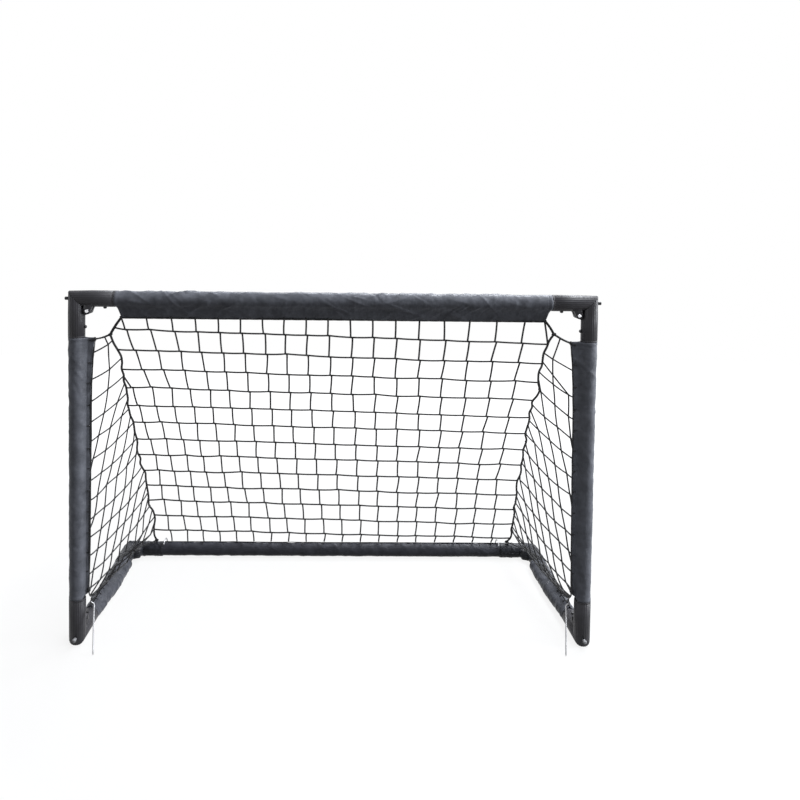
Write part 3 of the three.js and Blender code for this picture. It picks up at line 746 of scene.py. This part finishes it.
def rear_sleeve():
    made = Sleeve("rear", "base_frame", (corner("left", "rear"), corner("right", "rear")), UP, REAR_HEM, 9, 1.5 * MM)
    # Its cloth is painted darker, as shade.
    made.dress(made.folds(40, 0.0, made.length, 0.9 * MM), 0.3 * MM, 2.2 * MM, REAR_CLOTH_PAINTED_SHADE)
    made.lace(42.4 * MM, 7 * MM)


crossbar_sleeve()
post_sleeve("left", 3)
post_sleeve("right", 4)
side_sleeve("left", 5)
side_sleeve("right", 6)
rear_sleeve()


# Wraps round the rear elbows

WRAP_RADIUS = 14.9 * MM
WRAP_END = 70 * MM
WRAP_CORNER = 5 * MM
WRAP_STEPS = 34
WRAP_SIDES = 56
WRAP_CREASES = 34
WRAP_CRUMPLE = 12 * MM
LUG_COVER = 17.5 * MM


def wrap_line(at, inward):
    """The wrap's middle line, from its end on the rear bar round the corner to its end on the side bar."""
    run = WRAP_END - WRAP_CORNER
    line = [at + inward * (WRAP_END - run * n / WRAP_STEPS) for n in range(WRAP_STEPS)]
    for n in range(9):
        angle = QUARTER_TURN * n / 8
        line.append(at + (inward * (1 - math.sin(angle)) + FRONT * (1 - math.cos(angle))) * WRAP_CORNER)
    return line + [at + FRONT * (WRAP_CORNER + run * n / WRAP_STEPS) for n in range(1, WRAP_STEPS + 1)]


def rear_wrap(side, seed):
    """Bunched cloth that is drawn round a rear elbow and its lug."""
    inward = INWARD[side]
    at = corner(side, "rear")
    line = wrap_line(at, inward)
    distance = (np.arange(len(line)) - (len(line) - 1) / 2) * 2 * MM
    angles = np.array([*turns(WRAP_SIDES), FULL_TURN])
    along, around = np.meshgrid(distance, angles * WRAP_RADIUS, indexing="ij")
    local = random.Random(seed)
    height = np.zeros_like(along)
    for _ in range(WRAP_CREASES):
        place = local.uniform(-0.065, 0.065)
        lean = local.uniform(-0.5, 0.5)
        rise = local.uniform(0.5, 1.5) * MM
        start = local.uniform(0, FULL_TURN) * WRAP_RADIUS
        reach = local.uniform(12, 34) * MM
        off = along - place - lean * (around - start)
        height += rise * np.exp(-np.abs(off) / (1.5 * MM)) * np.exp(-(((around - start) / reach) ** 2))
    for i, j in np.ndindex(along.shape):
        turn = angles[j]
        spot = Vector((along[i, j] / WRAP_CRUMPLE, 1.5 * math.cos(turn), 1.5 * math.sin(turn) + seed))
        height[i, j] += 0.7 * MM * (1 - 4 * abs(noise.noise(spot)))
    height = np.maximum(height - max(0.0, float(height.mean())), -0.4 * MM)
    height[:, -1] = height[:, 0]
    points = []
    for i, point in enumerate(line):
        before, after = line[max(0, i - 1)], line[min(len(line) - 1, i + 1)]
        inner = UP.cross((after - before).normalized())
        if inner.dot(at + inward + FRONT - point) < 0:
            inner = -inner
        cover = LUG_COVER * math.exp(-((abs(distance[i]) / (11 * MM)) ** 3))
        for j, angle in enumerate(angles):
            bulge = cover * math.exp(-((min(angle, FULL_TURN - angle) / 0.45) ** 4))
            forward, up = polar(WRAP_RADIUS + bulge + height[i, j], angle)
            place = point + inner * forward + UP * up
            place.z = max(place.z, FLOOR_GAP)
            points.append(place)

    def core(point):
        return min(line, key=lambda p: (p - point).length_squared)

    name = f"{side}_bunched_wrap"
    piece = cloth_piece(points, along, around, name, WRAP_CLOTH, "base_frame", f"{side}_rear_wrap", core)


rear_wrap("left", 61)
rear_wrap("right", 62)


# Net and ropes

FLAP_END = POST_X - ARM_END - FLAP_SLANT
ROPE_TOP = Vector((POST_X - ROPE_INSET + 3 * MM, FRONT_Y + 8 * MM, CROSSBAR_Z - CROSSBAR_FLAP - 22 * MM))
ROPE_LOW = Vector((POST_X - ROPE_INSET, REAR_Y, BASE_Z + HEM + 2.3 * MM))
NET_TOP = CROSSBAR_Z - CROSSBAR_FLAP - 0.5 * MM
NET_LOW = BASE_Z + HEM + 1.5 * MM

# The share of the way down at which each rope is tied to the edge cord
TIE_SHARE = {"left": 0.016, "right": 0.0}

# How far each rope wanders outwards: its share of the way down, then millimetres
WANDER = {
    "left": (
        *((0.016, 8.5), (0.037, 10.5), (0.054, 8), (0.07, 3), (0.09, 1), (0.12, 0.5), (0.2, 2.3), (0.25, 1.2)),
        *((0.3, 4), (0.4, 4), (0.45, 2), (0.53, 6.5), (0.64, 2.5), (0.71, 4), (0.77, 7), (0.85, 2.3), (0.91, 5)),
        *((0.95, 11), (1, 8.5)),
    ),
    "right": (
        *((0, 3), (0.03, -3), (0.08, -6.5), (0.12, -6), (0.17, -4.5), (0.2, -3.5), (0.235, 1.5), (0.27, -4.5)),
        *((0.35, -5.5), (0.39, -2), (0.47, -2.5), (0.6, 3), (0.65, 0.5), (0.71, 4), (0.81, 9), (0.9, 13)),
        *((0.97, 17), (1, 10)),
    ),
}


def rope_point(side, share):
    """A point of a corner rope, by its share of the way down."""
    share = min(max(share, TIE_SHARE[side]), 1.0)
    place = ROPE_TOP.lerp(ROPE_LOW, share)
    shares = [s for s, _ in WANDER[side]]
    place.x += np.interp(share, shares, [w for _, w in WANDER[side]]) * MM
    place.y += noise.noise(Vector((share * 9, 1.3, SIDES[side]))) * 5 * MM * min(1, 8 * (1 - share))
    return Vector((SIDES[side] * place.x, place.y, place.z))


def rope_at_height(side, z):
    return rope_point(side, (ROPE_TOP.z - z) / (ROPE_TOP.z - ROPE_LOW.z))


def twisted(angle, travelled):
    """Three strands laid round each other."""
    return 0.84 + 0.22 * abs(math.cos(1.5 * (angle - travelled / (2.4 * MM))))


def knot(shape, place, along, size):
    """A small knot, longer across the cords that it ties."""
    rows, sides = 5, 8
    direction = Vector(along).normalized()
    normal = direction.orthogonal().normalized()
    across = direction.cross(normal)
    points = []
    for row in range(rows):
        tilt = math.pi * (row + 0.5) / rows
        lengthwise = direction * (math.cos(tilt) * size * 1.45)
        for angle in turns(sides):
            radial = normal * math.cos(angle) + across * math.sin(angle)
            lump = 1 + 0.12 * math.sin(3 * angle + row)
            points.append(place + lengthwise + radial * (math.sin(tilt) * size * lump))
    shape.add(points, tube_faces(rows, sides))


def strand(shape, start, end, slack, rng, radius=CORD_RADIUS):
    """A net cord between two knots, a little slack."""
    bow = Vector((rng.uniform(-1, 1), rng.uniform(-1, 1), -0.6)) * slack
    line = [start.lerp(end, t) + bow * (4 * t * (1 - t)) for t in (0.0, 0.25, 0.5, 0.75, 1.0)]
    sweep(shape, line, radius, 6)


def strands(shape, line, slack, rng, radius=CORD_RADIUS):
    for start, end in zip(line, line[1:]):
        strand(shape, start, end, slack, rng, radius)


def shaken(place, rng, forward=1.0, up=1.0):
    """A knot's place, a little off its row and column."""
    return place + Vector((rng.gauss(0, 1), rng.gauss(0, forward), rng.gauss(0, up))) * 0.9 * MM


def knotted_columns(knots):
    """Each column that has knots, and its rows from the top."""
    return [(column, sorted(r for c, r in knots if c == column)) for column in sorted({c for c, _ in knots})]


# The heights of the back net's rows in the middle, in millimetres
BACK_ROWS = (532, 492.5, 453, 414.5, 375.5, 338, 298.5, 260, 220.5, 180, 139.5, 97.5, 55)
NET_TILT = 0.028
JOG = 1.6 * MM
EDGE_CLEARANCE = 9 * MM
COLUMN_RISE = 24 * MM

# The places of the back net's columns, as a cubic of their number from the middle, in millimetres, at four shares
# of the way down. The net hangs a little askew.
COLUMN_FORM = (
    (0.0, (-29.5, 37.4, 0.158, 0.0462)),
    (0.27, (-23.4, 38.6, 0.316, 0.006)),
    (0.58, (-13.6, 39.9, 0.273, -0.023)),
    (0.96, (2.4, 39.3, 0.205, -0.006)),
)


def row_height(row, x):
    """The net hangs a little lower on the right."""
    return BACK_ROWS[row] * MM - NET_TILT * x


def net_share(z):
    return (NET_TOP - z) / (NET_TOP - NET_LOW)


def back_place(x, z):
    return Vector((x, FRONT_Y + DEPTH * net_share(z), z))


def column_x(column, share):
    """The place of a back-net column, counted from the middle, at a share of the way down."""
    shares = [at for at, _ in COLUMN_FORM]
    terms = [np.interp(share, shares, [form[n] for _, form in COLUMN_FORM]) for n in range(4)]
    return sum(term * column**n for n, term in enumerate(terms)) * MM


def flap_corner(side):
    """The lower corner of the crossbar's flap, where the net's edge cord starts."""
    return Vector((SIDES[side] * FLAP_END, FRONT_Y + FLAP_LEAN, NET_TOP + MM))


def back_net():
    rng = random.Random(21)
    shape = Shape()
    knots = {}
    for row in range(len(BACK_ROWS)):
        ends = {name: rope_at_height(name, row_height(row, SIDES[name] * ROPE_TOP.x)) for name in SIDES}
        inner = []
        for column in (c - 9.5 for c in range(20)):
            x = column_x(column, net_share(row_height(row, 0)))
            if ends["left"].x + EDGE_CLEARANCE < x < ends["right"].x - EDGE_CLEARANCE:
                knots[column, row] = shaken(back_place(x, row_height(row, x)), rng, 0.7, 0.8)
                inner.append(knots[column, row])
        if row == 0:
            ends["left"] = flap_corner("left").lerp(rope_point("left", 0), 0.6)
        strands(shape, [ends["left"], *inner, ends["right"]], 0.8 * MM, rng, BACK_RADIUS)
        for place in inner:
            knot(shape, place, RIGHT, 1.8 * MM)
    for column, rows in knotted_columns(knots):
        top = Vector((column_x(column, 0), FRONT_Y + FLAP_LEAN * 0.8, NET_TOP + 3 * MM))
        if rows[0] > 0:
            side = "left" if column < 0 else "right"
            x = column_x(column, net_share(row_height(rows[0], 0)))
            top = rope_at_height(side, row_height(rows[0], x) + COLUMN_RISE)
        low = Vector((column_x(column, 1), REAR_Y, NET_LOW))
        line = [top, *[knots[column, r] for r in rows], low]
        for n, (a, b) in enumerate(zip(line, line[1:])):
            leave = RIGHT * JOG if n else Vector()
            arrive = LEFT * JOG if n < len(line) - 2 else Vector()
            strand(shape, a + leave, b + arrive, 0.7 * MM, rng, BACK_RADIUS)
    edge = [Vector(((FLAP_END - MM) * (n / 20 - 1), FRONT_Y + FLAP_LEAN, NET_TOP)) for n in range(41)]
    strands(shape, edge, 0.3 * MM, rng, BACK_RADIUS)
    strand(shape, edge[-1], rope_at_height("right", row_height(0, ROPE_TOP.x)), 0.5 * MM, rng, BACK_RADIUS)
    return shape


# Where the side net's rows meet the post's flap on the left: heights in millimetres
POST_ROWS = (504, 458, 420, 384.5, 351, 317.5, 283.5, 249.5, 216.5, 185, 153, 121, 94)
# Where its columns cross those rows, in meshes, counted along each row. The last row starts on the side bar.
COLUMN_SHIFT = (2.79, 2.98, 3.12, 2.93, 2.6, 2.27, 1.97, 1.67, 1.37, 1.07, 0.77, 0.47, 0.17, -0.13)
RIGHT_OFFSET = 0.25
RIGHT_DROP = 24
LAST_ROW_START = 38 * MM
LAST_ROW_SHARE = 0.93
SIDE_PITCH = 36.7 * MM
SIDE_SAG = 10 * MM
LONGEST_ROW = 0.3
FREE_EDGE = 0.21
ROPE_SHARE, ROPE_SHARE_STEP = 0.043, 0.0685


def post_edge(side, z):
    """The free edge of the post's flap at a height."""
    reach = POST_FLAP + post_flare(CROSSBAR_Z - ARM_END - z) + 0.5 * MM
    return Vector((SIDES[side] * (POST_X - reach), FRONT_Y, z))


def row_ends(side, row):
    """A side-net row's ends, and the part of it that is missing in front. The right-hand net hangs lower."""
    is_right = side == "right"
    if row == len(POST_ROWS):
        return bar_edge(side, LAST_ROW_START), rope_point(side, LAST_ROW_SHARE), LAST_ROW_START
    height = (POST_ROWS[row] - is_right * RIGHT_DROP) * MM
    rope = rope_point(side, ROPE_SHARE + ROPE_SHARE_STEP * row + is_right * min(0.04, 0.03 + 0.01 * row))
    if height < (POST_ROWS[-1] - 8) * MM:
        return bar_edge(side, LAST_ROW_START * 0.6), rope, LAST_ROW_START * 0.6
    return post_edge(side, height), rope, 0.0


def sagging(start, end, t):
    """A point of a side-net row, by its share of the way."""
    place = start.lerp(end, t)
    place.z -= 4 * t * (1 - t) * SIDE_SAG * (end - start).length / LONGEST_ROW
    return place


def bar_edge(side, depth):
    """The side net's lower edge. It comes down to the side bar's hem in front and runs along it to the rope."""
    start = post_edge(side, POST_ROWS[-1] * MM)
    hem = Vector((SIDES[side] * POST_X, FRONT_Y + depth, BASE_Z + HEM + CORD_RADIUS))
    raised = max(0.0, 1 - depth / FREE_EDGE) ** 3.5
    hem.z += (start.z - hem.z) * raised
    hem.x += (start.x - hem.x) * raised
    behind = max(0.0, (depth - DEPTH + ARM_END) / ARM_END)
    end = rope_point(side, 1)
    hem.x += (end.x - hem.x) * behind
    hem.z += (end.z - hem.z) * behind
    return hem


def side_net(side):
    rng = random.Random(33 + SIDES[side])
    shape = Shape()
    knots = {}
    last = len(POST_ROWS)
    for row in range(last + 1):
        start, end, missing = row_ends(side, row)
        length = (end - start).length
        line = [start]
        for column in range(-5, 11):
            travel = SIDE_PITCH * (column + COLUMN_SHIFT[row] + RIGHT_OFFSET * (side == "right")) - missing
            if 6 * MM < travel < length - 6 * MM:
                knots[column, row] = shaken(sagging(start, end, travel / length), rng)
                line.append(knots[column, row])
        line.append(end)
        strands(shape, line, 0.8 * MM, rng)
        for place in line[1:-1]:
            knot(shape, place, BACK, 1.75 * MM)
    strands(shape, [bar_edge(side, DEPTH * n / 24) for n in range(25)], 0.2 * MM, rng)
    flap = [post_edge(side, z * MM) for z in range(POST_ROWS[-1], 526, 12)]
    strands(shape, flap, 0.2 * MM, rng)
    knot(shape, flap[0], UP, 3.4 * MM)
    for column, rows in knotted_columns(knots):
        line = [knots[column, r] for r in rows]
        if rows[0] > 0:
            above = row_ends(side, rows[0])[1].lerp(row_ends(side, rows[0] - 1)[1], 0.6)
            line.insert(0, rope_at_height(side, above.z))
        else:
            post = post_edge(side, CROSSBAR_Z - ARM_END - 4 * MM)
            line.insert(0, post.lerp(rope_point(side, 0), 0.62))
        if rows[-1] >= last - 1:
            depth = SIDE_PITCH * (column + COLUMN_SHIFT[rows[-1]] - 0.3)
            line.append(bar_edge(side, min(max(0.0, depth), DEPTH)))
        else:
            upper, lower = row_ends(side, rows[-1])[0], row_ends(side, rows[-1] + 1)[0]
            line.append(upper.lerp(lower, 0.5))
        strands(shape, line, 0.7 * MM, rng)
    return shape


def corner_rope(side):
    """The laid rope down the net's corner, and the doubled cord from the crossbar's flap to the post's flap."""
    sign = SIDES[side]
    rng = random.Random(50 + sign)
    shape = Shape()
    line = [rope_point(side, n / 40) for n in range(41)]
    for point in line[1:-1]:
        point += Vector((rng.gauss(0, 1.1), rng.gauss(0, 0.9), 0)) * MM
    sweep(shape, smooth_line(line, 6), ROPE_RADIUS, 12, section=twisted)
    flap_end = flap_corner(side)
    tie = line[0]
    post = post_edge(side, CROSSBAR_Z - ARM_END - 3 * MM)
    upper = smooth_line([flap_end, flap_end.lerp(tie, 0.5) + RIGHT * (sign * MM), tie], 10)
    lower = smooth_line([tie, tie.lerp(post, 0.5) + DOWN * 1.2 * MM, post], 10)
    for offset in (-1.1 * MM, 1.1 * MM):
        for part in (upper, lower):
            sweep(shape, [p + Vector((offset, 0.4 * offset, 0)) for p in part], 1.3 * MM, 10, section=twisted)
    knot(shape, tie, (1, 0, 0.3), 3.0 * MM)
    knot(shape, flap_end, (0, 1, 0.2), 2.6 * MM)
    knot(shape, post, UP, 2.6 * MM)
    knot(shape, line[-1], RIGHT, 3.0 * MM)
    return shape


nets = [(back_net(), "back_knotted_net", "back_net")]
for side in SIDES:
    nets.append((side_net(side), f"{side}_knotted_net", f"{side}_net"))
    nets.append((corner_rope(side), f"{side}_laid_rope", f"{side}_corner_rope"))
for shape, name, cad in nets:
    piece = shape.build(name, NET_CORD, None, "net_cord", cad)
    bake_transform(piece)


# Pegs

HOOK_IN = 3.8 * MM
HOOK_OUT = 2.8 * MM
HOOK_SLOPE = 0.85
PEG_LEAN = 36 * MM
PEG_TIP_INSET = 13.7 * MM
REAR_HOOK_INSET = 74 * MM
REAR_HOOK_RADIUS = 21.1 * MM
REAR_HOOK_TURN = math.radians(133)
REAR_PEG_SHAFT = 72 * MM


def wire(line, name):
    """Bent wire with a blunt start and a pointed end."""

    def radius_at(share):
        return 1.0 if share < 0.95 else max(0.12, (1 - share) / 0.05) ** 0.6

    shape = Shape()
    sweep(shape, smooth_line(line, 8), PEG_RADIUS, 14, radius_at=radius_at)
    shape.build(f"{name}_wire_peg", ZINC_WIRE, f"{name}_peg", "zinc_wire", f"{name}_peg")


def shaft(start, end, first):
    """The points of a peg's straight shaft, which starts to bend before its share first."""
    return [start.lerp(end, share) for share in (first, 0.5, 0.85, 1.0)]


def peg_loop(side):
    """The cord loop at the post's foot. Gives the place where the peg's hook hangs in it."""
    cad = f"{side}_peg_loop"
    ring = middle(cad)
    low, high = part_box(cad)
    radius = (high.z - low.z) / 2
    cord = (high.x - low.x) / 2
    inner = radius - cord
    shape = Shape()
    sweep(shape, [ring + Vector((0, *polar(inner, angle))) for angle in (*turns(24), FULL_TURN)], cord * 0.95)
    knot(shape, ring + UP * (radius + 0.6 * MM), BACK, 1.8 * MM)
    shape.build(f"{side}_tied_loop", NET_CORD, "front_frame", "net_cord", cad)
    return ring - UP * (radius - 2 * cord - PEG_RADIUS * 1.4)


def pegs(side):
    sign = SIDES[side]
    hook = peg_loop(side)
    slope = Vector((sign, 0, HOOK_SLOPE))
    bend = hook - slope * HOOK_IN
    tip = Vector((hook.x - sign * PEG_TIP_INSET, FRONT_Y - PEG_LEAN, PEG_RADIUS * 0.6))
    wire([hook + slope * HOOK_OUT, hook, bend, *shaft(bend, tip, 0.12)], f"{side}_front")
    x = POST_X - REAR_HOOK_INSET
    axis = Vector((sign * x, REAR_Y, BASE_Z))
    route = [axis + Vector((0, *polar(REAR_HOOK_RADIUS, REAR_HOOK_TURN * (1 - n / 9)))) for n in range(10)]
    behind = REAR_Y + REAR_HOOK_RADIUS
    bend = Vector((sign * (x - 6 * MM), behind, BASE_Z - 6 * MM))
    tip = Vector((sign * (x - REAR_PEG_SHAFT), behind, PEG_RADIUS + 0.3 * MM))
    wire([*route, bend, *shaft(bend, tip, 0.15)], f"{side}_rear")


for side in SIDES:
    pegs(side)


# Floor, light and camera

FLOOR_HALF = 2.4
COOL = (0.93, 0.96, 1.0)
# Each lamp's name and place, the height that it is turned to in the goal's middle, its size and its power
LAMPS = (
    ("key", (1.1, -1.3, 3.3), 0.35, (1.6, 0.8), 76),
    ("overhead", (1.3, 0.5, 2.7), 0.5, (2.4, 0.9), 100),
    ("rim", (0.6, 1.9, 2.4), 0.4, (2.6, 0.7), 85),
    ("side", (3.3, -0.55, 0.9), 0.3, (1.0, 1.2), 135),
    ("far_side", (-3.3, -1.0, 1.2), 0.3, (1.0, 1.2), 22),
)


def seen_directly(tree):
    """1 for what the camera sees, also in reflections and through glass, and 0 for the light on things."""
    rays = node(tree, "ShaderNodeLightPath").outputs
    seen = rays["Is Camera Ray"]
    for other in ("Is Glossy Ray", "Is Transmission Ray"):
        seen = node(tree, "ShaderNodeMath", {0: seen, 1: rays[other]}, operation="MAXIMUM").outputs["Value"]
    return seen


def stage_floor():
    """White to the camera and in reflections, with the goal's shadow on it. It throws little light back up."""
    mesh = bpy.data.meshes.new("floor")
    corners = ((-1, -1), (1, -1), (1, 1), (-1, 1))
    mesh.from_pydata([(FLOOR_HALF * x, FLOOR_HALF * y, 0) for x, y in corners], [], [[0, 1, 2, 3]])
    made = bpy.data.materials.new("floor")
    made.use_nodes = True
    tree = made.node_tree
    tree.nodes.remove(tree.nodes["Principled BSDF"])
    unseen = node(tree, "ShaderNodeBsdfDiffuse", {"Color": (0.08, 0.08, 0.08, 1)})
    matte = node(tree, "ShaderNodeBsdfDiffuse", {"Color": (0.8, 0.8, 0.8, 1)})
    distance = node(tree, "ShaderNodeVectorMath", {0: coordinates(tree, "Object")}, operation="LENGTH")
    strength = spread(distance.outputs["Value"], 0.96, 1.14, 0.6, 1.3)
    glow = node(tree, "ShaderNodeEmission", {"Color": (1, 1, 1, 1), "Strength": strength})
    pale = node(tree, "ShaderNodeMixShader", {"Fac": 0.9, 1: matte.outputs["BSDF"], 2: glow.outputs["Emission"]})
    inputs = {"Fac": seen_directly(tree), 1: unseen.outputs["BSDF"], 2: pale.outputs["Shader"]}
    plug(tree.nodes["Material Output"], {"Surface": node(tree, "ShaderNodeMixShader", inputs).outputs["Shader"]})
    mesh.materials.append(made)
    placed("floor", mesh)


def studio_world():
    """White to the camera and in reflections, and a dim fill otherwise."""
    world = bpy.data.worlds.new("studio")
    world.use_nodes = True
    tree = world.node_tree
    strength = spread(seen_directly(tree), 0.04, 1.0, 0.0, 1.0)
    plug(tree.nodes["Background"], {"Strength": strength, "Color": (1, 1, 1, 1)})
    bpy.context.scene.world = world


def area_light(name, place, target_height, size, power):
    data = bpy.data.lights.new(name, "AREA")
    data.shape = "RECTANGLE"
    data.size, data.size_y = size
    data.energy = power
    data.color = COOL
    light = placed(name, data)
    light.location = place
    towards = Vector((0, -0.1, target_height)) - Vector(place)
    light.rotation_euler = towards.to_track_quat("-Z", "Y").to_euler()


def photo_camera():
    """The photograph's viewpoint, fitted to the corners of the frame."""
    data = bpy.data.cameras.new("camera")
    data.sensor_width = 36.0
    data.lens = 32.99
    data.shift_x = 0.0668
    data.shift_y = -0.1921
    data.clip_start = 0.05
    data.clip_end = 60
    camera = placed("camera", data)
    camera.location = (0.0004, -1.40294, 0.73888)
    yaw, pitch, roll = (math.radians(a) for a in (0.8752, -2.303, 0.6661))
    turn = Matrix.Rotation(-yaw, 3, "Z") @ Matrix.Rotation(QUARTER_TURN + pitch, 3, "X") @ Matrix.Rotation(roll, 3, "Z")
    camera.rotation_euler = turn.to_euler()
    bpy.context.scene.camera = camera


stage_floor()
studio_world()
for lamp in LAMPS:
    area_light(*lamp)
photo_camera()
bpy.context.scene.view_settings.view_transform = "Standard"
